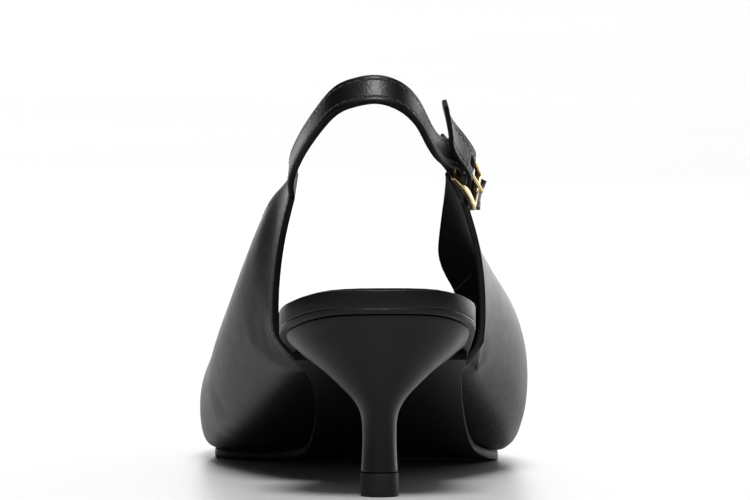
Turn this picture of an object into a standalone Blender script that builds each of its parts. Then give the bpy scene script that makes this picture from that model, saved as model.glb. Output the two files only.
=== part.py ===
"""Right slingback pump with a pointed toe, a buckled heel strap and a slim waisted heel.

Metres, +Z up, +Y to the toe, +X to the outer (little toe) side. The origin is the centre of the
heel tip's ground face. Stations run along the last from the back of the seat to the toe.
"""
import math

import bmesh
import bpy
from mathutils import Matrix, Vector

# Driving sizes
LAST_LENGTH = 0.252
BALL_WIDTH = 0.084
FEATHER_AT_SEAT = 0.0472
VAMP_HEIGHT = 0.036
GAP = 0.0003

UPPER_WALL = 0.0017
QUARTER_HEIGHT = 0.0765
OUTER_END_FOOT = 0.0105
OUTER_END_TOP = 0.0068
THROAT_STATION = 0.178
THROAT_CORNER = 0.635 * LAST_LENGTH

OUTSOLE_THICKNESS = 0.0022
OUTSOLE_INSET = 0.0006
SEAT_THICKNESS = 0.006
FOREPART_THICKNESS = 0.003
SEAT_WIDTH = 0.050
SEAT_DEPTH = 0.028
SEAT_START = 0.00012
INSOLE_TOE = 0.0085
INSOLE_TOE_CLEARANCE = 0.0012
QUARTER_STEP_START = 0.056
QUARTER_STEP_END = 0.062

HEEL_SETBACK = 0.020
HEEL_INSET = 0.0014
HEEL_BREAST = 0.047
HEEL_STEM_WIDTH = 0.0086
HEEL_STEM_DEPTH = 0.0100
HEEL_TIP_HEIGHT = 0.0060
HEEL_TIP_WIDTH = 0.0096
HEEL_TIP_DEPTH = 0.0108

STRAP_WIDTH = 0.0080
STRAP_THICKNESS = 0.0019
STRAP_FOLD_THICKNESS = 0.0011
STRAP_RISE = 0.1040
STRAP_HALF_SPAN = 0.0210
TAIL_THICKNESS = 0.0012
FOLD_BACK = 0.0085
FOLD_DROP = 0.0010
SLOT_BEFORE_BAR = 0.0030
PRONG_SLOT = 0.0026
PRONG_CLEARANCE = 0.0005

BUCKLE_SIDE = 0.0268
BUCKLE_STATION = 0.0465
BUCKLE_HEIGHT = 0.0766
BUCKLE_LENGTH = 0.0150
BUCKLE_WIDTH = 0.0120
BUCKLE_WIRE = 0.0015
BUCKLE_CORNER = 0.0016
BUCKLE_BOW = 0.0012
PRONG_WIRE = 0.0011

# Shares and powers of the curves
SEAT_SQUARENESS = 2.3
HEEL_BREAST_SQUARENESS = 7.0
HEEL_SEAT_FADE = 4
BULGE_SHARE = 0.3
UNDERCUT_IN = 2.3
UNDERCUT_OUT = 2.9
TOE_TAPER = 0.7
TOE_WIDTH_KEPT = 1 / 3
TOE_HEIGHT_KEPT = 0.5
VAMP_SPACING = 1.5
FOLD_TUCK = 0.95
TAIL_TIP_SHARE = 0.3
TAIL_TWIST_START = 0.45
TAIL_TWIST_END = 1.5
# A strap meets its quarter at a slight angle, so its middle stands off by this many gaps
ROOT_GAPS = 2.5

# Rows of faces
WALL_STEPS = 10
THROAT_STEPS = 6
VAMP_STEPS = 13
LINES_PER_ROW = 2
OUTER_END_LINES = 4
SEAT_ROWS = 9
SOLE_ROWS = 34
SOLE_COLUMNS = 8
HEEL_HALF_STEPS = 14
STRAP_STEPS = 3
SLING_FADE_STEPS = 9
TAIL_FADE_STEPS = 4
TAIL_TIP_STEPS = 5
WRAP_STEPS = 6


class Table:
    """Rows of named columns, read between rows by a smooth curve that never overshoots."""

    def __init__(self, names, rows):
        self.columns = dict(zip(names.split(), zip(*rows)))
        self.places = next(iter(self.columns.values()))

    def slope(self, values, i):
        if i == 0 or i == len(values) - 1:
            return 0.0 if i == 0 else (values[i] - values[i - 1]) / (self.places[i] - self.places[i - 1])
        before = (values[i] - values[i - 1]) / (self.places[i] - self.places[i - 1])
        after = (values[i + 1] - values[i]) / (self.places[i + 1] - self.places[i])
        if before * after <= 0:
            return 0.0
        return 2 * before * after / (before + after)

    def at(self, name, place):
        values = self.columns[name]
        place = min(max(place, self.places[0]), self.places[-1])
        i = 0
        while i < len(self.places) - 2 and place > self.places[i + 1]:
            i += 1
        span = self.places[i + 1] - self.places[i]
        t = (place - self.places[i]) / span
        start = self.slope(values, i) * span
        end = self.slope(values, i + 1) * span
        return ((2 * t ** 3 - 3 * t ** 2 + 1) * values[i] + (t ** 3 - 2 * t ** 2 + t) * start
                + (3 * t ** 2 - 2 * t ** 3) * values[i + 1] + (t ** 3 - t ** 2) * end)


# Height of the outsole's top along the last: shares of the last's length, and of the seat's
# height above the ball
BOTTOM = Table("along rise", (
    (0.00, 1.000),
    (0.06, 0.921),
    (0.12, 0.840),
    (0.18, 0.748),
    (0.24, 0.644),
    (0.30, 0.526),
    (0.36, 0.400),
    (0.42, 0.274),
    (0.48, 0.157),
    (0.54, 0.066),
    (0.59, 0.018),
    (0.635, 0.000),
    (0.79, 0.000),
    (0.90, 0.040),
    (1.00, 0.120),
))

# The last's cross sections. Widths are shares of the ball width, measured from the seat's axis:
# feather is the edge over the sole, bulge the widest place. Heights are shares of the vamp
# height above the feather: crown is where the section would close over the foot, and square is
# how squarely the wall turns in to it.
LAST = Table("along feather_in feather_out bulge_in bulge_out bulge_up crown_in crown_out"
             " square_in square_out ridge", (
    (0.111, 0.298, 0.298, 0.270, 0.330, 0.43, 1.99, 1.70, 2.0, 2.0, 0.036),
    (0.155, 0.273, 0.302, 0.274, 0.335, 0.43, 2.02, 1.84, 2.0, 2.0, 0.036),
    (0.200, 0.233, 0.302, 0.277, 0.345, 0.43, 2.10, 1.86, 2.0, 2.0, 0.036),
    (0.250, 0.190, 0.302, 0.290, 0.368, 0.44, 2.14, 1.73, 2.1, 2.0, 0.036),
    (0.300, 0.157, 0.314, 0.342, 0.406, 0.47, 1.75, 1.52, 2.6, 2.0, 0.038),
    (0.360, 0.138, 0.333, 0.381, 0.470, 0.49, 1.42, 1.33, 3.0, 2.2, 0.042),
    (0.440, 0.127, 0.366, 0.411, 0.541, 0.45, 1.28, 1.22, 2.9, 2.6, 0.046),
    (0.520, 0.131, 0.412, 0.428, 0.573, 0.40, 1.27, 1.19, 2.7, 2.7, 0.048),
    (0.580, 0.190, 0.474, 0.434, 0.573, 0.36, 1.22, 1.16, 2.5, 2.5, 0.046),
    (0.640, 0.318, 0.518, 0.438, 0.556, 0.34, 1.13, 1.11, 2.3, 2.3, 0.040),
    (0.700, 0.384, 0.496, 0.428, 0.518, 0.31, 1.06, 1.06, 2.1, 2.1, 0.032),
    (0.760, 0.362, 0.436, 0.388, 0.460, 0.28, 0.89, 0.89, 2.1, 2.1, 0.026),
    (0.830, 0.294, 0.337, 0.319, 0.359, 0.24, 0.72, 0.72, 2.1, 2.1, 0.020),
    (0.900, 0.196, 0.218, 0.222, 0.242, 0.19, 0.54, 0.54, 2.1, 2.1, 0.014),
    (0.950, 0.118, 0.130, 0.140, 0.154, 0.15, 0.41, 0.41, 2.1, 2.1, 0.010),
    (0.985, 0.055, 0.062, 0.070, 0.078, 0.12, 0.30, 0.30, 2.1, 2.1, 0.008),
    (1.000, 0.020, 0.026, 0.030, 0.036, 0.09, 0.20, 0.20, 2.1, 2.1, 0.006),
))

# Lines up the quarter, from the strap's root round the rear edge and forward. Stations are
# shares of the last's length and heights shares of the quarter's height over the floor. A foot
# height of 0 stands on the feather.
QUARTER = Table("line foot_along foot_up top_along top_up", (
    (0, 0.202, 0.980, 0.222, 1.068),
    (1, 0.224, 0.882, 0.256, 1.018),
    (2, 0.238, 0.780, 0.290, 0.964),
    (3, 0.246, 0.675, 0.324, 0.910),
    (4, 0.250, 0.570, 0.358, 0.853),
    (5, 0.254, 0.480, 0.392, 0.798),
    (6, 0.264, 0.000, 0.426, 0.743),
    (7, 0.300, 0.000, 0.460, 0.691),
    (8, 0.345, 0.000, 0.495, 0.644),
    (9, 0.400, 0.000, 0.530, 0.600),
    (10, 0.455, 0.000, 0.565, 0.562),
    (11, 0.510, 0.000, 0.600, 0.530),
    (12, 0.565, 0.000, 0.635, 0.506),
))

# The heel from its seat down to the tip: drop is the share of the way down, width and the reach
# back and forward are shares of the way from the stem's size to the seat's, and round is how
# far the outline has gone from the seat's shape to an oval.
HEEL = Table("drop width back front round", (
    (0.000, 1.000, 1.000, 1.000, 0.00),
    (0.039, 0.930, 0.900, 0.900, 0.05),
    (0.116, 0.810, 0.720, 0.720, 0.20),
    (0.193, 0.640, 0.560, 0.510, 0.40),
    (0.290, 0.440, 0.400, 0.310, 0.65),
    (0.387, 0.260, 0.270, 0.180, 0.85),
    (0.484, 0.100, 0.170, 0.100, 1.00),
    (0.600, 0.010, 0.080, 0.040, 1.00),
    (0.780, 0.000, 0.020, 0.010, 1.00),
    (1.000, 0.020, 0.015, 0.015, 1.00),
))

# Middle line of the long strap, from the inner quarter round the heel to the buckle. Side is a
# share of the half span, along of the last's length and up of the strap's rise. Lean is the
# angle by which the strap's upper edge tips forward, in degrees, and tuck its lean across.
SLING = Table("point side along up lean tuck", (
    (0, -0.985, 0.175, 0.790, 36, 0.10),
    (1, -0.935, 0.131, 0.842, 35, 0.13),
    (2, -0.815, 0.079, 0.902, 34, 0.14),
    (3, -0.585, 0.036, 0.971, 33, 0.10),
    (4, -0.315, 0.020, 0.996, 33, 0.04),
    (5, -0.040, 0.016, 1.001, 33, 0.00),
    (6, 0.225, 0.021, 0.980, 33, -0.02),
    (7, 0.418, 0.037, 0.943, 34, -0.05),
    (8, 0.552, 0.060, 0.898, 35, -0.06),
    (9, 0.668, 0.084, 0.864, 37, -0.05),
    (10, 0.800, 0.108, 0.842, 38, 0.00),
))


def clear_scene():
    for item in list(bpy.data.objects):
        bpy.data.objects.remove(item, do_unlink=True)


def place(x, station, z):
    """A point from its place across, its station along the last and its height."""
    return Vector((x, station - HEEL_SETBACK, z))


def blend(low, high, share):
    return low + (high - low) * share


def ease(share):
    share = min(max(share, 0.0), 1.0)
    return share * share * (3 - 2 * share)


def feather(station):
    """Height of the outsole's top, where the upper, insole and heel meet it."""
    rise = BOTTOM.at("rise", station / LAST_LENGTH)
    return OUTSOLE_THICKNESS + rise * (FEATHER_AT_SEAT - OUTSOLE_THICKNESS)


def edge_width(station, side):
    """Half width of the shoe's lower edge on one side (-1 inner, 1 outer)."""
    if station < SEAT_DEPTH:
        reach = 1 - station / SEAT_DEPTH
        return SEAT_WIDTH / 2 * (1 - reach ** SEAT_SQUARENESS) ** (1 / SEAT_SQUARENESS)
    name = "feather_in" if side < 0 else "feather_out"
    return LAST.at(name, station / LAST_LENGTH) * BALL_WIDTH


def solid(name, faces, outer, inner, colour, roughness, metallic=0.0):
    """One closed wall from matching outer and inner points and the faces that the outer side has."""
    mesh = bmesh.new()
    out = {key: mesh.verts.new(point) for key, point in outer.items()}
    back = {key: mesh.verts.new(point) for key, point in inner.items()}
    edges = {}
    for face in faces:
        mesh.faces.new([out[key] for key in face])
        mesh.faces.new([back[key] for key in reversed(face)])
        for start, end in zip(face, face[1:] + face[:1]):
            edge = frozenset((start, end))
            edges[edge] = None if edge in edges else (start, end)
    for pair in edges.values():
        if pair:
            start, end = pair
            mesh.faces.new([out[end], out[start], back[start], back[end]])
    bmesh.ops.triangulate(mesh, faces=mesh.faces[:])
    return finish(name, mesh, colour, roughness, metallic)


def finish(name, mesh, colour, roughness, metallic=0.0):
    """Turns a bmesh into a named object with its own material."""
    bmesh.ops.recalc_face_normals(mesh, faces=mesh.faces[:])
    data = bpy.data.meshes.new(name)
    mesh.to_mesh(data)
    mesh.free()
    item = bpy.data.objects.new(name, data)
    dress(item, colour, roughness, metallic)
    return item


def dress(item, colour, roughness, metallic=0.0):
    material = bpy.data.materials.new(item.name)
    material.use_nodes = True
    shader = material.node_tree.nodes["Principled BSDF"]
    shader.inputs["Base Color"].default_value = (*colour, 1.0)
    shader.inputs["Roughness"].default_value = roughness
    shader.inputs["Metallic"].default_value = metallic
    item.data.materials.append(material)
    if item.type == "MESH":
        item.data.shade_smooth()
        item.data.set_sharp_from_angle(angle=math.radians(35))
    COLLECTION.objects.link(item)


LEATHER = (0.012, 0.012, 0.013)
LINING = (0.020, 0.020, 0.021)
RUBBER = (0.010, 0.010, 0.010)
GOLD = (0.80, 0.62, 0.33)

# Shape of the upper's section and how finely its wall is divided


class Section:
    """One side of the last's cross section at a station, drawn in by an inset."""

    def __init__(self, station, side, inset=0.0):
        share = station / LAST_LENGTH
        name = "in" if side < 0 else "out"
        self.ridge = LAST.at("ridge", share) * BALL_WIDTH
        self.power = 2 / LAST.at("square_" + name, share)
        self.undercut = UNDERCUT_IN if side < 0 else UNDERCUT_OUT
        self.low = feather(station) + GAP
        self.middle = self.low + LAST.at("bulge_up", share) * VAMP_HEIGHT
        self.top = self.low + LAST.at("crown_" + name, share) * VAMP_HEIGHT
        self.foot = self.draw_in(side * LAST.at("feather_" + name, share) * BALL_WIDTH, inset)
        self.bulge = self.draw_in(side * LAST.at("bulge_" + name, share) * BALL_WIDTH, inset)
        if inset:
            self.top = max(self.top - inset, self.middle + TOE_HEIGHT_KEPT * (self.top - self.middle))

    def draw_in(self, x, inset):
        """Moves a width towards the ridge, keeping a share of it at the narrow toe."""
        reach = abs(x - self.ridge)
        return self.ridge + (x - self.ridge) * max((reach - inset) / reach, TOE_WIDTH_KEPT)

    def point(self, around):
        """Across and up at a share of the way round, 0 at the feather and 1 on the ridge."""
        if around < BULGE_SHARE:
            turn = (1 - around / BULGE_SHARE) * math.pi / 2
            power = 2 / self.undercut
            x = self.foot + (self.bulge - self.foot) * max(math.cos(turn), 0.0) ** power
            return x, self.middle - (self.middle - self.low) * math.sin(turn) ** power
        turn = (around - BULGE_SHARE) / (1 - BULGE_SHARE) * math.pi / 2
        x = self.ridge + (self.bulge - self.ridge) * max(math.cos(turn), 0.0) ** self.power
        return x, self.middle + (self.top - self.middle) * math.sin(turn) ** self.power

    def around(self, z):
        """The share of the way round at which the section reaches a height."""
        if z > self.middle:
            rise = min((z - self.middle) / (self.top - self.middle), 1.0)
            turn = math.asin(rise ** (1 / self.power))
            return BULGE_SHARE + (1 - BULGE_SHARE) * turn / (math.pi / 2)
        drop = min((self.middle - z) / (self.middle - self.low), 1.0)
        return BULGE_SHARE * (1 - math.asin(drop ** (self.undercut / 2)) / (math.pi / 2))


def last_point(station, around, side, inset=0.0):
    x, z = Section(station, side, inset).point(around)
    start = TOE_TAPER * LAST_LENGTH
    pulled = station - inset * ease((station - start) / (LAST_LENGTH - start))
    return place(x, pulled, z)


def quarter_line(line, side):
    """Foot and top of a line up the quarter, each as station and share round the section."""
    foot_station = QUARTER.at("foot_along", line) * LAST_LENGTH
    top_station = QUARTER.at("top_along", line) * LAST_LENGTH
    if side > 0:
        fade = (1 - min(line / OUTER_END_LINES, 1.0)) ** 2
        foot_station += OUTER_END_FOOT * fade
        top_station += OUTER_END_TOP * fade
    foot_up = QUARTER.at("foot_up", line) * QUARTER_HEIGHT
    foot_around = Section(foot_station, side).around(foot_up)
    top_around = Section(top_station, side).around(QUARTER.at("top_up", line) * QUARTER_HEIGHT)
    return (foot_station, foot_around), (top_station, top_around)


def upper_lines(side):
    """Lines up one side of the upper: quarter, then round the throat, then along the vamp."""
    rows = QUARTER.columns["line"]
    lines = [quarter_line(step / LINES_PER_ROW, side) for step in range(rows[-1] * LINES_PER_ROW + 1)]
    (last_foot, _), (corner, corner_around) = lines[-1]
    for step in range(1, THROAT_STEPS + 1):
        turn = step / THROAT_STEPS * math.pi / 2
        foot = blend(last_foot, THROAT_STATION, step / THROAT_STEPS)
        top = corner + (THROAT_STATION - corner) * math.sin(turn)
        lines.append(((foot, 0.0), (top, blend(corner_around, 1.0, 1 - math.cos(turn)))))
    for step in range(1, VAMP_STEPS + 1):
        share = 1 - (1 - step / VAMP_STEPS) ** VAMP_SPACING
        station = blend(THROAT_STATION, LAST_LENGTH, share)
        lines.append(((station, 0.0), (station, 1.0)))
    return lines


def make_upper():
    """Vamp and both quarters as one hollow wall, open at the throat, heel and underneath."""
    outer = {}
    inner = {}
    faces = []
    for side in (-1, 1):
        lines = upper_lines(side)
        closed = len(lines) - VAMP_STEPS - 1
        for i, ((foot, foot_around), (top, top_around)) in enumerate(lines):
            for j in range(WALL_STEPS + 1):
                share = j / WALL_STEPS
                station = blend(foot, top, share)
                around = blend(foot_around, top_around, share)
                key = upper_key(side, i, j, closed)
                outer[key] = last_point(station, around, side)
                inner[key] = last_point(station, around, side, UPPER_WALL)
        for i in range(len(lines) - 1):
            for j in range(WALL_STEPS):
                corners = ((i, j), (i + 1, j), (i + 1, j + 1), (i, j + 1))
                face = [upper_key(side, a, b, closed) for a, b in corners]
                faces.append(face if side > 0 else face[::-1])
    end = len(lines) - 1
    rim = [upper_key(1, end, j, closed) for j in range(WALL_STEPS + 1)]
    rim += [upper_key(-1, end, j, closed) for j in range(WALL_STEPS - 1, -1, -1)]
    faces.append(rim[::-1])
    return solid("upper", faces, outer, inner, LEATHER, 0.42)


def upper_key(side, i, j, closed):
    """The two sides share their points along the ridge of the vamp."""
    return (0, i, j) if j == WALL_STEPS and i >= closed else (side, i, j)


def quarter_end(side):
    """Lower and upper corner of the quarter's strap end, in the middle of its wall."""
    (foot, foot_around), (top, top_around) = quarter_line(0, side)
    low = last_point(foot, foot_around, side, UPPER_WALL / 2)
    high = last_point(top, top_around, side, UPPER_WALL / 2)
    return low, high


def sole_solid(name, stations, top, bottom, inset, colour, roughness):
    """A board under the foot: rows across at each station, with a top and a bottom height."""
    outer = {}
    inner = {}
    for i, station in enumerate(stations):
        inner_edge = -edge_width(station, -1) + inset(station)
        outer_edge = edge_width(station, 1) - inset(station)
        for j in range(SOLE_COLUMNS + 1):
            x = blend(inner_edge, outer_edge, j / SOLE_COLUMNS)
            outer[i, j] = place(x, station, top(station))
            inner[i, j] = place(x, station, bottom(station))
    faces = [[(i, j), (i, j + 1), (i + 1, j + 1), (i + 1, j)]
             for i in range(len(stations) - 1) for j in range(SOLE_COLUMNS)]
    return solid(name, faces, outer, inner, colour, roughness)


def seat_stations(start, end, count):
    """Stations that lie closer together towards the rounded back of the seat."""
    return [start + (end - start) * (1 - math.cos(step / count * math.pi / 2)) for step in range(count + 1)]


def make_insole():
    """The covered insole, thick at the bare seat and thinner where the upper closes over it."""
    toe = LAST_LENGTH - INSOLE_TOE
    stations = seat_stations(SEAT_START, SEAT_DEPTH, SEAT_ROWS)
    stations += [blend(SEAT_DEPTH, toe, step / SOLE_ROWS) for step in range(1, SOLE_ROWS + 1)]

    def inset(station):
        step = (station - QUARTER_STEP_START) / (QUARTER_STEP_END - QUARTER_STEP_START)
        to_toe = (station / LAST_LENGTH - TOE_TAPER) / (1 - TOE_TAPER)
        return ease(step) * (UPPER_WALL + 2 * GAP) + ease(to_toe) * INSOLE_TOE_CLEARANCE

    def thickness(station):
        share = ease((station - SEAT_DEPTH) / (THROAT_CORNER - SEAT_DEPTH))
        return blend(SEAT_THICKNESS, FOREPART_THICKNESS, share)

    return sole_solid("insole", stations, lambda s: feather(s) + GAP + thickness(s),
                      lambda s: feather(s) + GAP, inset, LINING, 0.5)


def make_outsole():
    """The thin outsole, from the heel's breast to the toe, flat where it meets the floor."""
    start = HEEL_BREAST + GAP
    stations = [blend(start, LAST_LENGTH, step / SOLE_ROWS) for step in range(SOLE_ROWS + 1)]
    return sole_solid("outsole", stations, feather, lambda s: feather(s) - OUTSOLE_THICKNESS,
                      lambda s: OUTSOLE_INSET, RUBBER, 0.55)


def heel_ring(drop):
    """Paired inner and outer points from the back of the heel to its breast at one section."""
    width = HEEL.at("width", drop)
    rounded = HEEL.at("round", drop)
    middle = blend(HEEL_SETBACK, SEAT_DEPTH, HEEL.at("back", drop))
    level = blend(feather(SEAT_DEPTH), HEEL_TIP_HEIGHT + GAP, drop)
    pairs = []
    for step in range(HEEL_HALF_STEPS + 1):
        turn = (step / HEEL_HALF_STEPS - 0.5) * math.pi
        behind = turn < 0
        power = 2 / blend(SEAT_SQUARENESS if behind else HEEL_BREAST_SQUARENESS, 2.0, rounded)
        reach = abs(math.sin(turn)) ** power
        spread = max(math.cos(turn), 0.0) ** power
        seat_reach = HEEL_INSET - SEAT_DEPTH if behind else HEEL_BREAST - SEAT_DEPTH
        stem_reach = HEEL_STEM_DEPTH / 2 * (-1 if behind else 1)
        share = HEEL.at("back" if behind else "front", drop)
        station = middle + blend(stem_reach, seat_reach, share) * reach
        seat_station = SEAT_DEPTH + seat_reach * reach
        z = level + (feather(seat_station) - feather(SEAT_DEPTH)) * (1 - drop) ** HEEL_SEAT_FADE
        pair = []
        for side in (-1, 1):
            narrowing = 1.0 if behind else edge_width(seat_station, side) / (SEAT_WIDTH / 2)
            seat_half = (SEAT_WIDTH / 2 - HEEL_INSET) * narrowing
            pair.append(place(side * blend(HEEL_STEM_WIDTH / 2, seat_half, width) * spread, station, z))
        pairs.append(pair)
    return pairs


def make_heel():
    """The waisted heel: rings from the seat down to the tip, closed across both ends."""
    mesh = bmesh.new()
    rings = []
    for drop in HEEL.columns["drop"][:-1]:
        rings.append(heel_ring(drop))
        after = HEEL.columns["drop"][HEEL.columns["drop"].index(drop) + 1]
        rings.append(heel_ring((drop + after) / 2))
    rings.append(heel_ring(1.0))
    loops = []
    for ring in rings:
        inner_side = [mesh.verts.new(pair[0]) for pair in ring]
        outer_side = [mesh.verts.new(pair[1]) for pair in ring[1:-1]]
        loops.append((inner_side, [inner_side[0]] + outer_side + [inner_side[-1]]))
    for above, below in zip(loops, loops[1:]):
        for side in (0, 1):
            for k in range(HEEL_HALF_STEPS):
                quad = [above[side][k], above[side][k + 1], below[side][k + 1], below[side][k]]
                mesh.faces.new(quad if side else quad[::-1])
    for left, right in (loops[0], loops[-1]):
        for k in range(HEEL_HALF_STEPS):
            corners = [left[k], left[k + 1], right[k + 1], right[k]]
            mesh.faces.new(list(dict.fromkeys(corners)))
    bmesh.ops.triangulate(mesh, faces=mesh.faces[:])
    return finish("heel", mesh, LEATHER, 0.3)


def make_heel_tip():
    """The top lift under the stem, an upright oval prism."""
    bpy.ops.mesh.primitive_cylinder_add(vertices=32, radius=0.5, depth=HEEL_TIP_HEIGHT)
    item = bpy.context.object
    item.name = "heel_tip"
    item.data.name = "heel_tip"
    item.data.transform(Matrix.Diagonal((HEEL_TIP_WIDTH, HEEL_TIP_DEPTH, 1.0, 1.0)))
    item.location = (0.0, 0.0, HEEL_TIP_HEIGHT / 2)
    for collection in list(item.users_collection):
        collection.objects.unlink(item)
    dress(item, RUBBER, 0.6)
    return item


def smooth_route(points, steps):
    """A smooth curve through points of any dimension, with the given steps between each pair."""
    route = []
    count = len(points)
    for i in range(count - 1):
        before = points[max(i - 1, 0)]
        start, end = points[i], points[i + 1]
        after = points[min(i + 2, count - 1)]
        for step in range(steps):
            t = step / steps
            route.append(0.5 * ((2 * start) + (end - before) * t
                                + (2 * before - 5 * start + 4 * end - after) * t ** 2
                                + (3 * start - before - 3 * end + after) * t ** 3))
    route.append(points[-1].copy())
    return route


def strap_solid(name, middles, ups, widths, thicknesses, slot, slot_width, colour, roughness):
    """A flat strap swept along its middle line, with a slot through its middle strip."""
    outer = {}
    inner = {}
    count = len(middles)
    for i, middle in enumerate(middles):
        tangent = (middles[min(i + 1, count - 1)] - middles[max(i - 1, 0)]).normalized()
        up = ups[i] if i == 0 else (ups[i] - tangent * ups[i].dot(tangent)).normalized()
        normal = tangent.cross(up).normalized()
        half = widths[i] / 2
        slot_half = min(slot_width / 2, half / 2)
        for j, reach in enumerate((-half, -slot_half, slot_half, half)):
            outer[i, j] = middle + up * reach + normal * thicknesses[i] / 2
            inner[i, j] = middle + up * reach - normal * thicknesses[i] / 2
    faces = [[(i, j), (i + 1, j), (i + 1, j + 1), (i, j + 1)]
             for i in range(count - 1) for j in range(3) if not (j == 1 and i in slot)]
    return solid(name, faces, outer, inner, colour, roughness)


# Place of the buckle: the middle of its front bar, the way its length runs forward and down,
# and the way its width runs up and forward
BUCKLE_FRONT = place(BUCKLE_SIDE, BUCKLE_STATION, BUCKLE_HEIGHT)
BUCKLE_ALONG = Vector((0.398, 0.720, -0.585)).normalized()
BUCKLE_UP = Vector((0.200, 0.580, 0.790)).normalized()
BUCKLE_OUT = BUCKLE_ALONG.cross(BUCKLE_UP).normalized()
HEEL_BAR = BUCKLE_FRONT - BUCKLE_ALONG * (BUCKLE_LENGTH - BUCKLE_WIRE)
WRAP_REACH = BUCKLE_WIRE / 2 + GAP + STRAP_FOLD_THICKNESS / 2


def buckle_place(along, up, out):
    """A point from its distances along, up and out from the middle of the buckle's heel bar."""
    return HEEL_BAR + BUCKLE_ALONG * along + BUCKLE_UP * up + BUCKLE_OUT * out


def make_sling():
    """The long strap from the inner quarter, round the heel and folded round the buckle's bar."""
    low, high = quarter_end(-1)
    rows = zip(*(SLING.columns[name] for name in ("side", "along", "up", "lean", "tuck")))
    points = []
    ups = []
    for side, along, up, lean, tuck in rows:
        points.append(place(side * STRAP_HALF_SPAN, along * LAST_LENGTH, up * STRAP_RISE))
        angle = math.radians(lean)
        ups.append(Vector((tuck, math.sin(angle), math.cos(angle))).normalized())
    root = (low + high) / 2
    root += (points[0] - root).normalized() * GAP * ROOT_GAPS
    points.insert(0, root)
    ups.insert(0, (high - low).normalized())
    points.append(buckle_place(-SLOT_BEFORE_BAR, 0.0, WRAP_REACH))
    ups.append(BUCKLE_UP)
    middles = smooth_route(points, STRAP_STEPS)
    directions = smooth_route(ups, STRAP_STEPS)
    slot_start = len(middles) - 1
    for step in range(WRAP_STEPS + 1):
        turn = step / WRAP_STEPS * math.pi
        middles.append(buckle_place(math.sin(turn) * WRAP_REACH, 0.0, math.cos(turn) * WRAP_REACH))
    slot_end = len(middles) - 1
    middles.append(buckle_place(-SLOT_BEFORE_BAR, 0.0, -WRAP_REACH))
    middles.append(buckle_place(-FOLD_BACK, -FOLD_DROP, -WRAP_REACH * FOLD_TUCK))
    directions += [BUCKLE_UP] * (len(middles) - len(directions))
    end_width = (high - low).length
    widths = []
    thicknesses = []
    for i in range(len(middles)):
        share = ease(i / SLING_FADE_STEPS)
        widths.append(blend(end_width, STRAP_WIDTH, share))
        thickness = blend(UPPER_WALL, STRAP_THICKNESS, share)
        fold_share = ease(1 - (slot_start - i) / SLING_FADE_STEPS)
        thicknesses.append(blend(thickness, STRAP_FOLD_THICKNESS, fold_share))
    slot = range(slot_start, slot_end + 1)
    return strap_solid("sling_strap", middles, directions, widths, thicknesses, slot, PRONG_SLOT,
                       LEATHER, 0.42)


# Middle line of the buckled strap, from the outer quarter under the buckle's front bar and out
# over its heel bar: shares of the buckle's length along and of its width up and out.
TAIL = Table("point along up out", (
    (0, 1.44, 0.26, -0.160),
    (1, 1.24, 0.10, -0.070),
    (2, 1.00, 0.00, -0.142),
    (3, 0.80, 0.00, -0.090),
    (4, 0.42, 0.00, 0.120),
    (5, 0.15, 0.00, 0.252),
    (6, -0.17, 0.00, 0.266),
    (7, -0.50, 0.01, 0.232),
    (8, -0.88, 0.03, 0.215),
    (9, -1.27, 0.08, 0.270),
    (10, -1.74, 0.18, 0.375),
))
TAIL_TIP_UP = Vector((-0.15, 0.75, 0.64)).normalized()


def tail_twist(along):
    """How far the free end has turned towards its tip's direction."""
    return ease((-along - TAIL_TWIST_START) / (TAIL_TWIST_END - TAIL_TWIST_START))


def make_tail():
    """The buckled strap that carries on from the outer quarter, with its rounded free tip."""
    low, high = quarter_end(1)
    span = BUCKLE_LENGTH - BUCKLE_WIRE
    points = [buckle_place(along * span, up * BUCKLE_WIDTH, out * BUCKLE_WIDTH)
              for along, up, out in zip(*(TAIL.columns[name] for name in ("along", "up", "out")))]
    root = (low + high) / 2
    root += (points[0] - root).normalized() * GAP * ROOT_GAPS
    points.insert(0, root)
    ups = [(high - low).normalized()]
    ups += [BUCKLE_UP.lerp(TAIL_TIP_UP, tail_twist(along)) for along in TAIL.columns["along"]]
    middles = smooth_route(points, STRAP_STEPS)
    directions = smooth_route(ups, STRAP_STEPS)
    end_width = (high - low).length
    count = len(middles)
    widths = []
    for i in range(count):
        width = blend(end_width, STRAP_WIDTH, ease(i / TAIL_FADE_STEPS))
        to_tip = (count - 1 - i) / TAIL_TIP_STEPS
        if to_tip < 1:
            width *= max(math.sqrt(1 - (1 - to_tip) ** 2), TAIL_TIP_SHARE)
        widths.append(width)
    thicknesses = [blend(UPPER_WALL, TAIL_THICKNESS, ease(i / TAIL_FADE_STEPS)) for i in range(count)]
    crossed = [i for i, middle in enumerate(middles) if prong_crosses(middle)]
    slot = range(crossed[0] - 1, crossed[-1] + 1)
    return strap_solid("strap_tail", middles, directions, widths, thicknesses, slot, PRONG_SLOT,
                       LEATHER, 0.42)


PRONG_OUT = BUCKLE_WIRE / 2 + GAP + PRONG_WIRE / 2


def prong_crosses(middle):
    """Whether the prong passes through the buckled strap at a point of its middle line."""
    offset = middle - HEEL_BAR
    along = offset.dot(BUCKLE_ALONG)
    out = offset.dot(BUCKLE_OUT)
    reach = (TAIL_THICKNESS + PRONG_WIRE) / 2 + PRONG_CLEARANCE
    return 0 < along < BUCKLE_LENGTH + PRONG_WIRE and abs(out - PRONG_OUT) < reach


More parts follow.
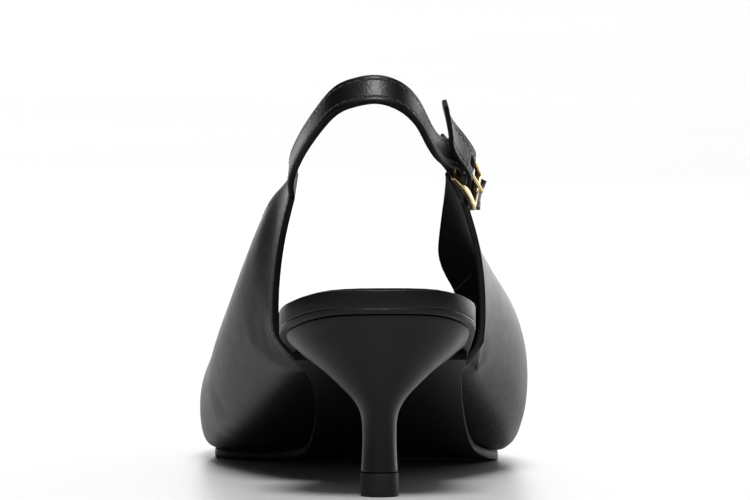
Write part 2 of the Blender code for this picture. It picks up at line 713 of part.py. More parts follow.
def wire_solid(name, points, radius, closed, colour, roughness):
    """A round wire along points, as a closed mesh."""
    curve = bpy.data.curves.new(name, "CURVE")
    curve.dimensions = "3D"
    curve.bevel_depth = radius
    curve.bevel_resolution = 2
    curve.use_fill_caps = not closed
    spline = curve.splines.new("POLY")
    spline.points.add(len(points) - 1)
    for target, point in zip(spline.points, points):
        target.co = (*point, 1.0)
    spline.use_cyclic_u = closed
    item = bpy.data.objects.new(name, curve)
    dress(item, colour, roughness, 1.0)
    return item


def make_buckle():
    """The rounded rectangular frame, one closed ring of wire whose side bars bow outward."""
    half_along = (BUCKLE_LENGTH - BUCKLE_WIRE) / 2
    half_up = (BUCKLE_WIDTH - BUCKLE_WIRE) / 2
    outline = []
    for corner, (along, up) in enumerate(((1, 1), (-1, 1), (-1, -1), (1, -1))):
        for step in range(5):
            turn = math.radians(90 * corner + 22.5 * step)
            outline.append((along * (half_along - BUCKLE_CORNER) + math.cos(turn) * BUCKLE_CORNER,
                            up * (half_up - BUCKLE_CORNER) + math.sin(turn) * BUCKLE_CORNER))
        if along == up:
            outline += [(up * share * half_along, up * half_up) for share in (0.5, 0.0, -0.5)]
    points = [buckle_place(half_along + along, up, BUCKLE_BOW * (1 - (along / half_along) ** 2))
              for along, up in outline]
    return wire_solid("buckle_frame", points, BUCKLE_WIRE / 2, True, GOLD, 0.22)


def make_prong():
    """The prong: a hook round the heel bar, then straight through the strap to the front bar."""
    points = []
    for step in range(9):
        turn = math.pi * (1 - step / 8)
        points.append(buckle_place(-math.sin(turn) * PRONG_OUT, 0.0, math.cos(turn) * PRONG_OUT))
    reach = BUCKLE_LENGTH - BUCKLE_WIRE / 2
    for step in range(1, 5):
        points.append(buckle_place(reach * step / 4, 0.0, PRONG_OUT))
    return wire_solid("buckle_prong", points, PRONG_WIRE / 2, False, GOLD, 0.22)


clear_scene()
COLLECTION = bpy.data.collections.new("slingback_pump")
bpy.context.scene.collection.children.link(COLLECTION)
make_heel()
make_heel_tip()
make_outsole()
make_insole()
make_upper()
make_sling()
make_tail()
make_buckle()
make_prong()
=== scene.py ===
import math

import bmesh
import bpy
from mathutils import Matrix, Vector
from mathutils.bvhtree import BVHTree
from mathutils.kdtree import KDTree


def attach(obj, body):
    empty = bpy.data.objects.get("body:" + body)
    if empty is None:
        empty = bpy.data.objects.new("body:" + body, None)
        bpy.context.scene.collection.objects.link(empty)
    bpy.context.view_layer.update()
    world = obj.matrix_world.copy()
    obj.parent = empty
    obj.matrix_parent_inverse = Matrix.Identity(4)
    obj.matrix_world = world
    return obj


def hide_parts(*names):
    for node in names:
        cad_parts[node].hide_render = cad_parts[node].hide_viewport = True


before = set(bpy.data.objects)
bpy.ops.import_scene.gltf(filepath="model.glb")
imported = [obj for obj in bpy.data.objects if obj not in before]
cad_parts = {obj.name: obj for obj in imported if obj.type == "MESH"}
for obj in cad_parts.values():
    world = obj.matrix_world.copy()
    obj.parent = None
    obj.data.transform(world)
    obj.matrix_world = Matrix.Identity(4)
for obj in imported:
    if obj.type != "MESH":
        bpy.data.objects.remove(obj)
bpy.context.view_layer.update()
body = "root"
mm = 0.001
print("frame loaded:", sorted(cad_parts))


# small helpers

def toLinear(hexColour):
    parts = [int(hexColour[i:i + 2], 16) / 255 for i in (1, 3, 5)]
    return tuple([p / 12.92 if p <= 0.04045 else ((p + 0.055) / 1.055) ** 2.4 for p in parts] + [1.0])


def addNode(tree, kind, values=None, links=None, **settings):
    node = tree.nodes.new(kind)
    for key, value in settings.items():
        setattr(node, key, value)
    for key, value in (values or {}).items():
        node.inputs[key].default_value = value
    for key, source in (links or {}).items():
        tree.links.new(source, node.inputs[key])
    return node


def newMaterial(name, values):
    material = bpy.data.materials.new(name)
    material.use_nodes = True
    tree = material.node_tree
    shader = tree.nodes["Principled BSDF"]
    for key, value in values.items():
        shader.inputs[key].default_value = value
    return material, tree, shader


def link(piece):
    bpy.context.scene.collection.objects.link(piece)
    return piece


# camera: low behind the heel with a long lens, as the photograph was taken

cameraLook = {
    "azimuth": -4.5, "elevation": 2.75, "distance": 3.0, "pixelsAcross": 11790, "picture": (750, 500),
    "aim": (0.0, 0.0, 0.05254), "aimPixel": (379.5, 290.0), "sensor": 36, "clip": (0.1, 100),
}


def makeCamera(look):
    turn, lift = math.radians(look["azimuth"]), math.radians(look["elevation"])
    right = Vector((math.cos(turn), math.sin(turn), 0))
    back = Vector((math.sin(turn) * math.cos(lift), -math.cos(turn) * math.cos(lift), math.sin(lift)))
    up = back.cross(right)
    perPixel = look["distance"] / look["pixelsAcross"]
    wide, tall = look["picture"]
    centre = Vector(look["aim"]) - right * (look["aimPixel"][0] - wide / 2) * perPixel
    centre += up * (look["aimPixel"][1] - tall / 2) * perPixel
    data = bpy.data.cameras.new("camera")
    data.sensor_width = look["sensor"]
    data.lens = look["pixelsAcross"] / wide * look["sensor"]
    data.clip_start, data.clip_end = look["clip"]
    camera = link(bpy.data.objects.new("camera", data))
    camera.location = centre + back * look["distance"]
    camera.rotation_euler = (-back).to_track_quat("-Z", "Y").to_euler()
    bpy.context.scene.camera = camera


makeCamera(cameraLook)
print("camera placed")


# materials

nappaLook = {
    "dark": "#060607", "light": "#0b0b0d", "roughness": 0.40, "gloss": 0.32,
    "pore": 0.62 * mm, "poreDepth": 0.055 * mm, "wrinkle": 3.2 * mm, "wrinkleDepth": 0.05 * mm,
    "cloud": 24 * mm, "stitchLine": 1.45 * mm, "grooveWidth": 0.40 * mm, "grooveDepth": 0.16 * mm,
    "foldRoughness": 0.6, "smoother": 0.06, "rougher": 0.08,
}


# Black nappa calf, drum dyed and lightly sprayed: near black, with a soft sheen that breaks up into
# a fine pebble where light runs along it. The pores of 0.2 mm are drawn at 0.6 mm so that they show.
def makeNappa(look):
    material, tree, shader = newMaterial("black_nappa_calf", {
        "IOR": 1.5, "Specular IOR Level": look["gloss"]})
    where = addNode(tree, "ShaderNodeTexCoord").outputs["Object"]
    cloud = addNode(tree, "ShaderNodeTexNoise", {"Scale": 1 / look["cloud"], "Detail": 3.0},
                    {"Vector": where})
    tone = addNode(tree, "ShaderNodeMix", {"A": toLinear(look["dark"]), "B": toLinear(look["light"])},
                   {"Factor": cloud.outputs["Fac"]}, data_type="RGBA")
    tree.links.new(tone.outputs["Result"], shader.inputs["Base Color"])
    pores = addNode(tree, "ShaderNodeTexVoronoi", {"Scale": 1 / look["pore"]}, {"Vector": where},
                    feature="SMOOTH_F1")
    folds = addNode(tree, "ShaderNodeTexNoise",
                    {"Scale": 1 / look["wrinkle"], "Detail": 5.0, "Roughness": look["foldRoughness"]},
                    {"Vector": where})
    edge = addNode(tree, "ShaderNodeAttribute", attribute_name="edgeDistance").outputs["Fac"]
    fromLine = addNode(tree, "ShaderNodeMath", {1: look["stitchLine"]}, {0: edge}, operation="SUBTRACT")
    aside = addNode(tree, "ShaderNodeMath", links={0: fromLine.outputs["Value"]}, operation="ABSOLUTE")
    groove = addNode(tree, "ShaderNodeMapRange",
                     {"From Min": 0.0, "From Max": look["grooveWidth"], "To Min": -1.0, "To Max": 0.0},
                     {"Value": aside.outputs["Value"]}, interpolation_type="SMOOTHSTEP")
    grain = addNode(tree, "ShaderNodeBump", {"Strength": 1.0, "Distance": look["poreDepth"]},
                    {"Height": pores.outputs["Distance"]})
    creased = addNode(tree, "ShaderNodeBump", {"Strength": 1.0, "Distance": look["wrinkleDepth"]},
                      {"Height": folds.outputs["Fac"], "Normal": grain.outputs["Normal"]})
    sewn = addNode(tree, "ShaderNodeBump", {"Strength": 1.0, "Distance": look["grooveDepth"]},
                   {"Height": groove.outputs["Result"], "Normal": creased.outputs["Normal"]})
    tree.links.new(sewn.outputs["Normal"], shader.inputs["Normal"])
    rough = addNode(tree, "ShaderNodeMapRange",
                    {"To Min": look["roughness"] - look["smoother"],
                     "To Max": look["roughness"] + look["rougher"]},
                    {"Value": folds.outputs["Fac"]})
    tree.links.new(rough.outputs["Result"], shader.inputs["Roughness"])
    return material


liningLook = {
    "gloss": 0.2, "dark": "#1d1c1e", "light": "#302e31", "roughness": 0.55, "pore": 0.45 * mm,
    "poreDepth": 0.03 * mm, "cloud": 14 * mm, "smoother": 0.05, "rougher": 0.10,
}


# Lining of dyed kid, unglazed: softer and duller than the outside, with a close fine pore.
def makeLining(look):
    material, tree, shader = newMaterial("black_kid_lining", {
        "IOR": 1.5, "Specular IOR Level": look["gloss"]})
    where = addNode(tree, "ShaderNodeTexCoord").outputs["Object"]
    cloud = addNode(tree, "ShaderNodeTexNoise", {"Scale": 1 / look["cloud"], "Detail": 4.0},
                    {"Vector": where})
    tone = addNode(tree, "ShaderNodeMix", {"A": toLinear(look["dark"]), "B": toLinear(look["light"])},
                   {"Factor": cloud.outputs["Fac"]}, data_type="RGBA")
    tree.links.new(tone.outputs["Result"], shader.inputs["Base Color"])
    pores = addNode(tree, "ShaderNodeTexVoronoi", {"Scale": 1 / look["pore"]}, {"Vector": where})
    bump = addNode(tree, "ShaderNodeBump", {"Strength": 1.0, "Distance": look["poreDepth"]},
                   {"Height": pores.outputs["Distance"]})
    tree.links.new(bump.outputs["Normal"], shader.inputs["Normal"])
    rough = addNode(tree, "ShaderNodeMapRange",
                    {"To Min": look["roughness"] - look["smoother"],
                     "To Max": look["roughness"] + look["rougher"]},
                    {"Value": cloud.outputs["Fac"]})
    tree.links.new(rough.outputs["Result"], shader.inputs["Roughness"])
    return material


# A smooth black finish with a slow unevenness and a fine texture, for inked edges, the heel's
# sprayed cover, the moulded sole and the heel tip. Each has its own settings and scale.
finishLooks = {
    "edge_ink": {"gloss": 0.14, "dark": "#030304", "light": "#070708", "roughness": 0.5,
                 "fine": 0.8 * mm, "depth": 0.04 * mm, "slow": 6 * mm},
    "satin_heel_cover": {"gloss": 0.24, "dark": "#08080a", "light": "#0f0f12", "roughness": 0.36,
                         "fine": 0.5 * mm, "depth": 0.008 * mm, "slow": 18 * mm},
    "moulded_sole_resin": {"gloss": 0.3, "dark": "#070707", "light": "#0e0e0f", "roughness": 0.46,
                           "fine": 0.9 * mm, "depth": 0.03 * mm, "slow": 12 * mm},
    "urethane_top_piece": {"gloss": 0.3, "dark": "#0a0a0a", "light": "#131313", "roughness": 0.62,
                           "fine": 0.4 * mm, "depth": 0.05 * mm, "slow": 4 * mm},
}
finishRange = {"smoother": 0.05, "rougher": 0.06}


def makeFinish(name, look):
    material, tree, shader = newMaterial(name, {"IOR": 1.5, "Specular IOR Level": look["gloss"]})
    where = addNode(tree, "ShaderNodeTexCoord").outputs["Object"]
    slow = addNode(tree, "ShaderNodeTexNoise", {"Scale": 1 / look["slow"], "Detail": 3.0}, {"Vector": where})
    tone = addNode(tree, "ShaderNodeMix", {"A": toLinear(look["dark"]), "B": toLinear(look["light"])},
                   {"Factor": slow.outputs["Fac"]}, data_type="RGBA")
    tree.links.new(tone.outputs["Result"], shader.inputs["Base Color"])
    fine = addNode(tree, "ShaderNodeTexNoise", {"Scale": 1 / look["fine"], "Detail": 2.0}, {"Vector": where})
    bump = addNode(tree, "ShaderNodeBump", {"Strength": 1.0, "Distance": look["depth"]},
                   {"Height": fine.outputs["Fac"]})
    tree.links.new(bump.outputs["Normal"], shader.inputs["Normal"])
    rough = addNode(tree, "ShaderNodeMapRange",
                    {"To Min": look["roughness"] - finishRange["smoother"],
                     "To Max": look["roughness"] + finishRange["rougher"]},
                    {"Value": slow.outputs["Fac"]})
    tree.links.new(rough.outputs["Result"], shader.inputs["Roughness"])
    return material


goldLook = {
    "pale": "#f0dcae", "deep": "#d8b97e", "roughness": 0.17, "hammer": 0.9 * mm, "depth": 0.05 * mm,
    "smoother": 0.04, "rougher": 0.10,
}


# Pale gold plating over a die-cast zinc alloy, tumbled and lightly hammered: a bright warm metal
# whose highlights break at the shallow dents.
def makeGold(look):
    material, tree, shader = newMaterial("pale_gold_plate", {"Metallic": 1.0})
    where = addNode(tree, "ShaderNodeTexCoord").outputs["Object"]
    worn = addNode(tree, "ShaderNodeTexNoise", {"Scale": 1 / look["hammer"], "Detail": 2.0},
                   {"Vector": where})
    tone = addNode(tree, "ShaderNodeMix", {"A": toLinear(look["deep"]), "B": toLinear(look["pale"])},
                   {"Factor": worn.outputs["Fac"]}, data_type="RGBA")
    tree.links.new(tone.outputs["Result"], shader.inputs["Base Color"])
    bump = addNode(tree, "ShaderNodeBump", {"Strength": 1.0, "Distance": look["depth"]},
                   {"Height": worn.outputs["Fac"]})
    tree.links.new(bump.outputs["Normal"], shader.inputs["Normal"])
    rough = addNode(tree, "ShaderNodeMapRange",
                    {"To Min": look["roughness"] - look["smoother"],
                     "To Max": look["roughness"] + look["rougher"]},
                    {"Value": worn.outputs["Fac"]})
    tree.links.new(rough.outputs["Result"], shader.inputs["Roughness"])
    return material


threadLook = {
    "dark": "#050506", "light": "#111114", "twistHighlight": 0.35 * mm, "bandShare": 0.2, "waver": 1.5,
    "roughness": 0.6, "sheen": 0.3,
}


# Bonded polyester thread: black and slightly glossy, with fine diagonal bands along its twist painted
# lighter as a painted highlight where the twist catches light.
def makeThread(look):
    material, tree, shader = newMaterial("black_polyester_thread", {
        "Roughness": look["roughness"], "Sheen Weight": look["sheen"]})
    where = addNode(tree, "ShaderNodeTexCoord").outputs["Object"]
    # painted highlight: diagonal bands along the twist, painted lighter into the thread's colour
    twistHighlight = addNode(tree, "ShaderNodeTexWave",
                    {"Scale": look["bandShare"] / look["twistHighlight"], "Distortion": look["waver"]},
                    {"Vector": where}, bands_direction="DIAGONAL")
    tone = addNode(tree, "ShaderNodeMix", {"A": toLinear(look["dark"]), "B": toLinear(look["light"])},
                   {"Factor": twistHighlight.outputs["Fac"]}, data_type="RGBA")
    tree.links.new(tone.outputs["Result"], shader.inputs["Base Color"])
    return material


nappa = makeNappa(nappaLook)
lining = makeLining(liningLook)
edgeInk, heelCover, soleResin, tipUrethane = [makeFinish(name, look) for name, look in finishLooks.items()]
gold = makeGold(goldLook)
thread = makeThread(threadLook)
print("materials made")


# pieces made from the CAD solids

def finishPiece(piece, materials, slot, *nodes):
    for material in materials:
        piece.data.materials.append(material)
    for polygon in piece.data.polygons:
        polygon.use_smooth = True
    if nodes:
        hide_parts(*nodes)
    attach(piece, body)


cleanLook = {"mergeWithin": 0.002 * mm, "flatWithin": 40, "squareWithin": 80, "keepRows": 2.0}


# A copy of a CAD solid's mesh, merged, with its triangles joined again into rows of four-sided faces
def cleanCopy(node, name):
    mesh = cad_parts[node].data.copy()
    mesh.materials.clear()
    piece = link(bpy.data.objects.new(name, mesh))
    bm = bmesh.new()
    bm.from_mesh(mesh)
    bmesh.ops.remove_doubles(bm, verts=bm.verts, dist=cleanLook["mergeWithin"])
    bmesh.ops.join_triangles(bm, faces=bm.faces, angle_face_threshold=math.radians(cleanLook["flatWithin"]),
                             angle_shape_threshold=math.radians(cleanLook["squareWithin"]),
                             topology_influence=cleanLook["keepRows"])
    return piece, bm


def skinTree(mesh):
    bm = bmesh.new()
    bm.from_mesh(mesh)
    tree = BVHTree.FromBMesh(bm)
    bm.free()
    return tree


middleOfShoe = Vector((0.003, 0.06, 0.03))


# Marks every face as outside (0), inside (1) or rim (2). Faces that meet without a sharp edge are one
# skin: the two largest are the outside and the inside, told apart by how they face the shoe's middle.
def labelSkins(bm, rimAngle):
    for face in bm.faces:
        face.tag = False
    skins = []
    for first in bm.faces:
        if first.tag:
            continue
        first.tag = True
        skin, queue = [], [first]
        while queue:
            face = queue.pop()
            skin.append(face)
            for edge in face.edges:
                if edge.calc_face_angle(0) > rimAngle:
                    continue
                for other in edge.link_faces:
                    if not other.tag:
                        other.tag = True
                        queue.append(other)
        skins.append(skin)
    skins.sort(key=lambda skin: -sum(face.calc_area() for face in skin))

    def outward(skin):
        return sum(face.calc_area() * face.normal.dot(face.calc_center_median() - middleOfShoe)
                   for face in skin)

    broad = sorted(skins[:2], key=outward)
    for skin in skins:
        index = 2
        if skin is broad[-1]:
            index = 0
        elif skin is broad[0]:
            index = 1
        for face in skin:
            face.material_index = index


# The edges between the outside and its rim, as lines of (point, way along, way in over the skin)
def sewnEdges(bm):
    edges = {edge: True for edge in bm.edges
             if sorted(face.material_index for face in edge.link_faces) == [0, 2]}
    chains = []
    while edges:
        edge = next(iter(edges))
        del edges[edge]
        chain = [edge.verts[0], edge.verts[1]]
        grown = True
        while grown:
            grown = False
            for at, end in ((len(chain), chain[-1]), (0, chain[0])):
                step = next((e for e in end.link_edges if e in edges), None)
                if step:
                    del edges[step]
                    chain.insert(at, step.other_vert(end))
                    grown = True
        chains.append(chain)
    lines = []
    for chain in chains:
        line = []
        for i, vert in enumerate(chain):
            before, after = chain[max(i - 1, 0)].co, chain[min(i + 1, len(chain) - 1)].co
            along = (after - before).normalized()
            skin = [face for face in vert.link_faces if face.material_index == 0]
            normal = sum((face.normal for face in skin), Vector()).normalized()
            inward = normal.cross(along).normalized()
            middle = sum((face.calc_center_median() for face in skin), Vector()) / len(skin)
            if inward.dot(middle - vert.co) < 0:
                inward = -inward
            line.append((vert.co.copy(), along, inward))
        lines.append(line)
    return lines


# A soft ridge and trough where the leather was drawn over the last on the inner side: their points in
# millimetres, how high they rise and how wide they spread
swells = (
    {"points": ((-17.0, 46.1, 30.1), (-23.0, 78.4, 19.9), (-28.7, 118.5, 7.9)),
     "height": 0.55 * mm, "spread": 5.5 * mm},
    {"points": ((-24.5, 52.0, 31.5), (-31.0, 74.0, 29.0), (-35.0, 106.0, 19.5)),
     "height": -0.45 * mm, "spread": 6.5 * mm},
)
swellRange = {"samples": 20, "spreads": 3}


def swell(mesh, looks):
    if not looks:
        return
    places = [vert.co.copy() for vert in mesh.vertices]
    normals = [vert.normal.copy() for vert in mesh.vertices]
    for look in looks:
        spine = [Vector(point) * mm for point in look["points"]]
        count = swellRange["samples"]
        samples = [start.lerp(end, step / count) for start, end in zip(spine, spine[1:])
                   for step in range(count + 1)]
        reach = KDTree(len(samples))
        for i, sample in enumerate(samples):
            reach.insert(sample, i)
        reach.balance()
        for i, normal in enumerate(normals):
            far = reach.find(places[i])[2]
            if far < look["spread"] * swellRange["spreads"]:
                places[i] += normal * look["height"] * math.exp(-(far / look["spread"]) ** 2)
    mesh.vertices.foreach_set("co", [value for place in places for value in place])


edgeMarks = {"perEdge": 12, "farthest": 20 * mm, "nowhere": (9, 9, 9)}


# A piece from its CAD solid: rims rounded, then smoothed, with each point's distance from the
# sewn edges kept for the leather's groove. A joined piece's root reaches up to its neighbour.
def dressedPiece(node, name, slot, look):
    piece, bm = cleanCopy(node, name)
    angle = math.radians(look["rimAngle"])
    labelSkins(bm, angle)
    lines = sewnEdges(bm)
    joined = look.get("joinedTo")
    caps = [face for face in bm.faces if joined and face.material_index == 2
            and joined.find_nearest(face.calc_center_median())[3] < look["joinReach"]]
    onward = sum((face.normal for face in caps), Vector()).normalized()
    for vert in {vert for face in caps for vert in face.verts}:
        vert.co += onward * look["joinStep"]
    sharp = [edge for edge in bm.edges
             if edge.calc_face_angle(0) > angle and not set(edge.link_faces) & set(caps)]
    bmesh.ops.bevel(bm, geom=sharp, offset=look["rimWidth"], offset_type="OFFSET", segments=2, profile=0.5,
                    affect="EDGES", material=2, clamp_overlap=True)
    bm.to_mesh(piece.data)
    bm.free()
    piece.modifiers.new("smooth", "SUBSURF").levels = look["levels"]
    piece.modifiers["smooth"].render_levels = look["levels"]
    bpy.context.view_layer.update()
    smooth = bpy.data.meshes.new_from_object(piece.evaluated_get(bpy.context.evaluated_depsgraph_get()))
    piece.modifiers.clear()
    piece.data = smooth
    smooth.name = name
    perEdge = edgeMarks["perEdge"]
    tree = KDTree(sum(len(line) * perEdge for line in lines) + 1)
    tree.insert(Vector(edgeMarks["nowhere"]), 0)
    for line in lines:
        for (start, *_), (end, *_) in zip(line, line[1:]):
            for step in range(perEdge):
                tree.insert(start.lerp(end, step / perEdge), 0)
    tree.balance()
    distance = smooth.attributes.new("edgeDistance", "FLOAT", "POINT")
    distance.data.foreach_set("value", [min(tree.find(vert.co)[2], edgeMarks["farthest"])
                                        for vert in smooth.vertices])
    swell(smooth, look.get("swells", ()))
    finishPiece(piece, look["materials"], slot, node)
    return piece, lines


# Lockstitches: a short bead of thread for each, laid along the edge at the seam's distance from it
stitchLook = {
    "inset": 1.45 * mm, "pitch": 2.4 * mm, "length": 1.75 * mm, "width": 0.46 * mm, "height": 0.28 * mm,
}
beadLook = {"around": 8, "along": 4, "offSkin": 1.2 * mm}


def stitchLine(bm, piece, line, look, keep):
    skin = skinTree(piece.data)
    travelled, due = 0.0, look["pitch"] / 2
    for (start, alongA, inA), (end, alongB, inB) in zip(line, line[1:]):
        length = (end - start).length
        while due < travelled + length:
            share = (due - travelled) / length
            inward = inA.lerp(inB, share).normalized()
            point = start.lerp(end, share) + inward * look["inset"]
            due += look["pitch"]
            spot, normal, _, gap = skin.find_nearest(point)
            if spot is None or gap > beadLook["offSkin"] or not keep(point):
                continue
            along = alongA.lerp(alongB, share)
            along = (along - normal * along.dot(normal)).normalized()
            turn = Matrix((along, normal.cross(along), normal)).transposed().to_4x4()
            size = Matrix.Diagonal((look["length"] / 2, look["width"] / 2, look["height"] / 2, 1))
            bmesh.ops.create_uvsphere(bm, u_segments=beadLook["around"], v_segments=beadLook["along"],
                                      radius=1, matrix=Matrix.Translation(spot) @ turn @ size)
        travelled += length


def makeStitches(name, jobs, look):
    bm = bmesh.new()
    for piece, lines, keep in jobs:
        for line in lines:
            stitchLine(bm, piece, line, look, keep)
    mesh = bpy.data.meshes.new(name)
    bm.to_mesh(mesh)
    bm.free()
    finishPiece(link(bpy.data.objects.new(name, mesh)), [thread], "upper_leather")


leatherLook = {"rimAngle": 50, "rimWidth": 0.42 * mm, "levels": 2, "materials": (nappa, lining, edgeInk)}
boardLook = {"rimAngle": 60, "rimWidth": 0.40 * mm, "levels": 0, "materials": (nappa, nappa, nappa)}
upperLook = {**leatherLook, "swells": swells}
# The two straps grow out of the quarters, so their root ends reach up to the upper
strapLook = {**leatherLook, "joinedTo": skinTree(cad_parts["upper"].data), "joinReach": 0.8 * mm,
             "joinStep": 0.3 * mm}
soleLook = {**boardLook, "materials": (soleResin, soleResin, edgeInk)}
heelLook = {**boardLook, "levels": 1, "materials": [heelCover] * 3}
tipLook = {**boardLook, "rimWidth": 0.3 * mm, "materials": [tipUrethane] * 3}
prongLook = {**boardLook, "rimAngle": 80, "rimWidth": 0.15 * mm, "levels": 1, "materials": [gold] * 3}
upper, upperLines = dressedPiece("upper", "upper_leather", "upper_leather", upperLook)
sling, slingLines = dressedPiece("sling_strap", "sling_leather", "upper_leather", strapLook)
tail, tailLines = dressedPiece("strap_tail", "tail_leather", "upper_leather", strapLook)
dressedPiece("insole", "insole_cover", "insole_leather", boardLook)
dressedPiece("outsole", "outsole_board", "outsole", soleLook)
dressedPiece("heel", "heel_block", "heel_cover", heelLook)
dressedPiece("heel_tip", "heel_top_piece", "heel_tip", tipLook)
dressedPiece("buckle_prong", "buckle_tongue", "buckle", prongLook)
print("leather and heel pieces made")


# the buckle's frame: square-cornered bars bowed over the strap, the front bar the deepest

ringLook = {
    "place": (0.02148, 0.01687, 0.08442), "along": (0.3943, 0.7132, -0.5795), "up": (0.2, 0.5799, 0.7898),
    "length": 15.0 * mm, "width": 12.0 * mm, "bar": 1.5 * mm, "depth": 1.9 * mm, "bow": 1.0 * mm,
    "corner": 0.7 * mm, "edge": 0.20 * mm, "cuts": 15, "sideDepth": 0.62, "deepFrom": 0.62, "deepOver": 0.24,
    "rimAngle": 50,
}


def makeRing(look):
    along, up = Vector(look["along"]), Vector(look["up"])
    half = (look["length"] - look["bar"]) / 2
    bm = bmesh.new()
    bmesh.ops.create_grid(bm, x_segments=1, y_segments=1, size=0.5)
    bmesh.ops.scale(bm, verts=bm.verts, vec=(look["length"], look["width"], 1))
    ring = bmesh.ops.inset_region(bm, faces=bm.faces[:], thickness=look["bar"], use_boundary=True,
                                  use_even_offset=True)["faces"]
    bmesh.ops.delete(bm, geom=[face for face in bm.faces if face not in ring], context="FACES")
    lifted = bmesh.ops.extrude_face_region(bm, geom=bm.faces[:])["geom"]
    bmesh.ops.translate(bm, verts=[item for item in lifted if isinstance(item, bmesh.types.BMVert)],
                        vec=(0, 0, look["depth"]))
    bmesh.ops.translate(bm, verts=bm.verts, vec=(0, 0, -look["depth"] / 2))
    bmesh.ops.recalc_face_normals(bm, faces=bm.faces)
    upright = [edge for edge in bm.edges
               if abs(edge.verts[0].co.z - edge.verts[1].co.z) > look["depth"] / 2]
    bmesh.ops.bevel(bm, geom=upright, offset=look["corner"], offset_type="OFFSET", segments=4, profile=0.5,
                    affect="EDGES", material=-1)
    lengthwise = [edge for edge in bm.edges if abs(edge.verts[0].co.x - edge.verts[1].co.x) > half]
    bmesh.ops.subdivide_edges(bm, edges=lengthwise, cuts=look["cuts"], use_grid_fill=True)
    rims = [edge for edge in bm.edges if edge.calc_face_angle(0) > math.radians(look["rimAngle"])]
    bmesh.ops.bevel(bm, geom=rims, offset=look["edge"], offset_type="OFFSET", segments=2, profile=0.5,
                    affect="EDGES", material=-1, clamp_overlap=True)
    for vert in bm.verts:
        toFront = min(max((vert.co.x / half - look["deepFrom"]) / look["deepOver"], 0), 1)
        vert.co.z *= look["sideDepth"] + (1 - look["sideDepth"]) * toFront
        vert.co.z += look["bow"] * (1 - (vert.co.x / half) ** 2)
        vert.co.x += half
    turn = Matrix((along, up, along.cross(up).normalized())).transposed().to_4x4()
    bmesh.ops.transform(bm, matrix=Matrix.Translation(look["place"]) @ turn, verts=bm.verts)
    mesh = bpy.data.meshes.new("buckle_ring")
    bm.to_mesh(mesh)
    bm.free()
    finishPiece(link(bpy.data.objects.new("buckle_ring", mesh)), [gold], "buckle", "buckle_frame")


makeRing(ringLook)


# Sock lining: a thin sheet glued over the insole, set in from its edge
sockLook = {"inset": 1.5 * mm, "thickness": 0.5 * mm, "edge": 0.15 * mm, "topFrom": 0.4, "rimAngle": 60}


def makeSock(look):
    piece, bm = cleanCopy("insole", "sock_lining")
    rest = [face for face in bm.faces if face.normal.z < look["topFrom"]]
    bmesh.ops.delete(bm, geom=rest, context="FACES")
    border = bmesh.ops.inset_region(bm, faces=bm.faces[:], thickness=look["inset"], use_boundary=True,
                                    use_even_offset=True)["faces"]
    bmesh.ops.delete(bm, geom=border, context="FACES")
    bmesh.ops.solidify(bm, geom=bm.faces[:], thickness=-look["thickness"])
    bmesh.ops.recalc_face_normals(bm, faces=bm.faces)
    rims = [edge for edge in bm.edges if edge.calc_face_angle(0) > math.radians(look["rimAngle"])]
    bmesh.ops.bevel(bm, geom=rims, offset=look["edge"], offset_type="OFFSET", segments=2, profile=0.5,
                    affect="EDGES", material=-1, clamp_overlap=True)
    bm.to_mesh(piece.data)
    bm.free()
    finishPiece(piece, [lining], "insole_leather")


makeSock(sockLook)
print("buckle and sock lining made")


# sewing: none where the upper is lasted under, nor where the buckle lies on the strap

sole, seat, ring = [skinTree(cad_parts[node].data) for node in ("outsole", "insole", "buckle_frame")]
clearLook = {"sole": 3.0 * mm, "buckle": 1.6 * mm}


def clearOfSole(point):
    return min(sole.find_nearest(point)[3], seat.find_nearest(point)[3]) > clearLook["sole"]


def clearOfBuckle(point):
    return ring.find_nearest(point)[3] > clearLook["buckle"]


makeStitches("edge_stitches", [(upper, upperLines, clearOfSole), (sling, slingLines, clearOfBuckle),
                               (tail, tailLines, clearOfBuckle)], stitchLook)

# The lining's closing seam inside the outer quarter: a low turned ridge
seamLook = {"inset": 0.0, "pitch": 0.9 * mm, "length": 2.2 * mm, "width": 0.55 * mm, "height": 0.5 * mm}
seamPoints = [Vector(point) * mm
              for point in ((28.3, 107.6, 46.5), (29.7, 97.2, 49.3), (31.3, 86.8, 52.1))]
seamWay = (seamPoints[-1] - seamPoints[0]).normalized()
seamLines = [[(point, seamWay, Vector((0, 0, 1))) for point in seamPoints]]
makeStitches("lining_seam", [(upper, seamLines, clearOfSole)], seamLook)
print("stitches sewn")


# floor, world and studio lights

# Suns: name, azimuth, elevation and spread in degrees, strength. Panels: name, place, size, watts.
lightLook = {
    "behindCamera": 0.20, "room": 0.012, "backdrop": 3.1,
    "roomFrom": 0.42, "roomTo": 0.95, "backdropFrom": 0.985,
    "floor": ("#aeaeae", "#b5b5b5"), "floorRadius": 40, "floorRoughness": 0.42, "floorCloud": 0.5,
    "aim": (0, 0.05, 0.05),
    "suns": (("key_lamp", 0, 66, 22, 4.0), ("overhead_scrim", 180, 80, 60, 0.8)),
    "panels": (("left_panel", (-0.55, 0.55, 1.25), (0.5, 0.3), 0.12),
               ("right_panel", (1.0, 1.2, 0.45), (1.2, 1.1), 10.0)),
}


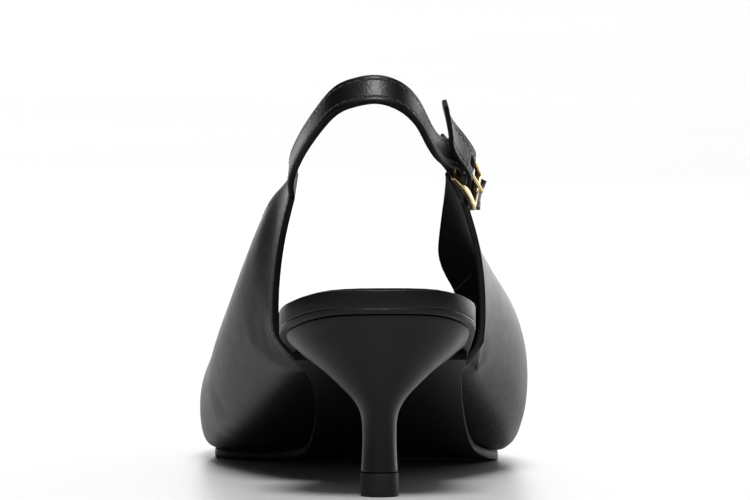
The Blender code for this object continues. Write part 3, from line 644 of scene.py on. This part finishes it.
# Pale grey sweep with a satin finish, which mirrors the backdrop and turns white at a low angle
def makeFloor(look):
    mesh = bpy.data.meshes.new("floor")
    bm = bmesh.new()
    bmesh.ops.create_circle(bm, cap_ends=True, radius=look["floorRadius"], segments=64)
    bm.to_mesh(mesh)
    bm.free()
    floor = link(bpy.data.objects.new("floor", mesh))
    material, tree, shader = newMaterial("pale_satin_floor", {"Roughness": look["floorRoughness"]})
    where = addNode(tree, "ShaderNodeTexCoord").outputs["Object"]
    cloud = addNode(tree, "ShaderNodeTexNoise", {"Scale": 1 / look["floorCloud"]}, {"Vector": where})
    tone = addNode(tree, "ShaderNodeMix", {"A": toLinear(look["floor"][0]), "B": toLinear(look["floor"][1])},
                   {"Factor": cloud.outputs["Fac"]}, data_type="RGBA")
    tree.links.new(tone.outputs["Result"], shader.inputs["Base Color"])
    mesh.materials.append(material)


# A dark room, dimly lit behind the camera, with a narrow bright backdrop behind the shoe
def makeWorld(look):
    world = bpy.data.worlds.new("studio")
    world.use_nodes = True
    tree = world.node_tree
    way = addNode(tree, "ShaderNodeTexCoord").outputs["Generated"]
    split = addNode(tree, "ShaderNodeSeparateXYZ", links={"Vector": way})
    share = addNode(tree, "ShaderNodeMapRange", {"From Min": -1.0, "From Max": 1.0},
                    {"Value": split.outputs["Y"]})
    ramp = addNode(tree, "ShaderNodeValToRGB", links={"Fac": share.outputs["Result"]})
    stops = ((0.0, look["behindCamera"]), (look["roomFrom"], look["room"]), (look["roomTo"], look["room"]),
             (look["backdropFrom"], look["backdrop"]))
    while len(ramp.color_ramp.elements) < len(stops):
        ramp.color_ramp.elements.new(0.5)
    for element, (place, value) in zip(ramp.color_ramp.elements, stops):
        element.position = place
        element.color = (value, value, value, 1)
    tree.links.new(ramp.outputs["Color"], tree.nodes["Background"].inputs["Color"])
    bpy.context.scene.world = world


def makeSun(name, azimuth, elevation, spread, strength):
    data = bpy.data.lights.new(name, "SUN")
    data.angle = math.radians(spread)
    data.energy = strength
    sun = link(bpy.data.objects.new(name, data))
    turn, lift = math.radians(azimuth), math.radians(elevation)
    source = Vector((math.sin(turn) * math.cos(lift), -math.cos(turn) * math.cos(lift), math.sin(lift)))
    sun.rotation_euler = source.to_track_quat("Z", "Y").to_euler()


def makePanel(name, place, size, power, aim):
    data = bpy.data.lights.new(name, "AREA")
    data.shape = "RECTANGLE"
    data.size, data.size_y = size
    data.energy = power
    panel = link(bpy.data.objects.new(name, data))
    panel.location = place
    panel.rotation_euler = (Vector(aim) - Vector(place)).to_track_quat("-Z", "Y").to_euler()
    panel.visible_camera = False


# Standard, so that the lit backdrop and the floor that mirrors it reach white, as in the photograph
bpy.context.scene.view_settings.view_transform = "Standard"
makeFloor(lightLook)
makeWorld(lightLook)
for sunLook in lightLook["suns"]:
    makeSun(*sunLook)
for panelLook in lightLook["panels"]:
    makePanel(*panelLook, lightLook["aim"])
print("floor and lights made")
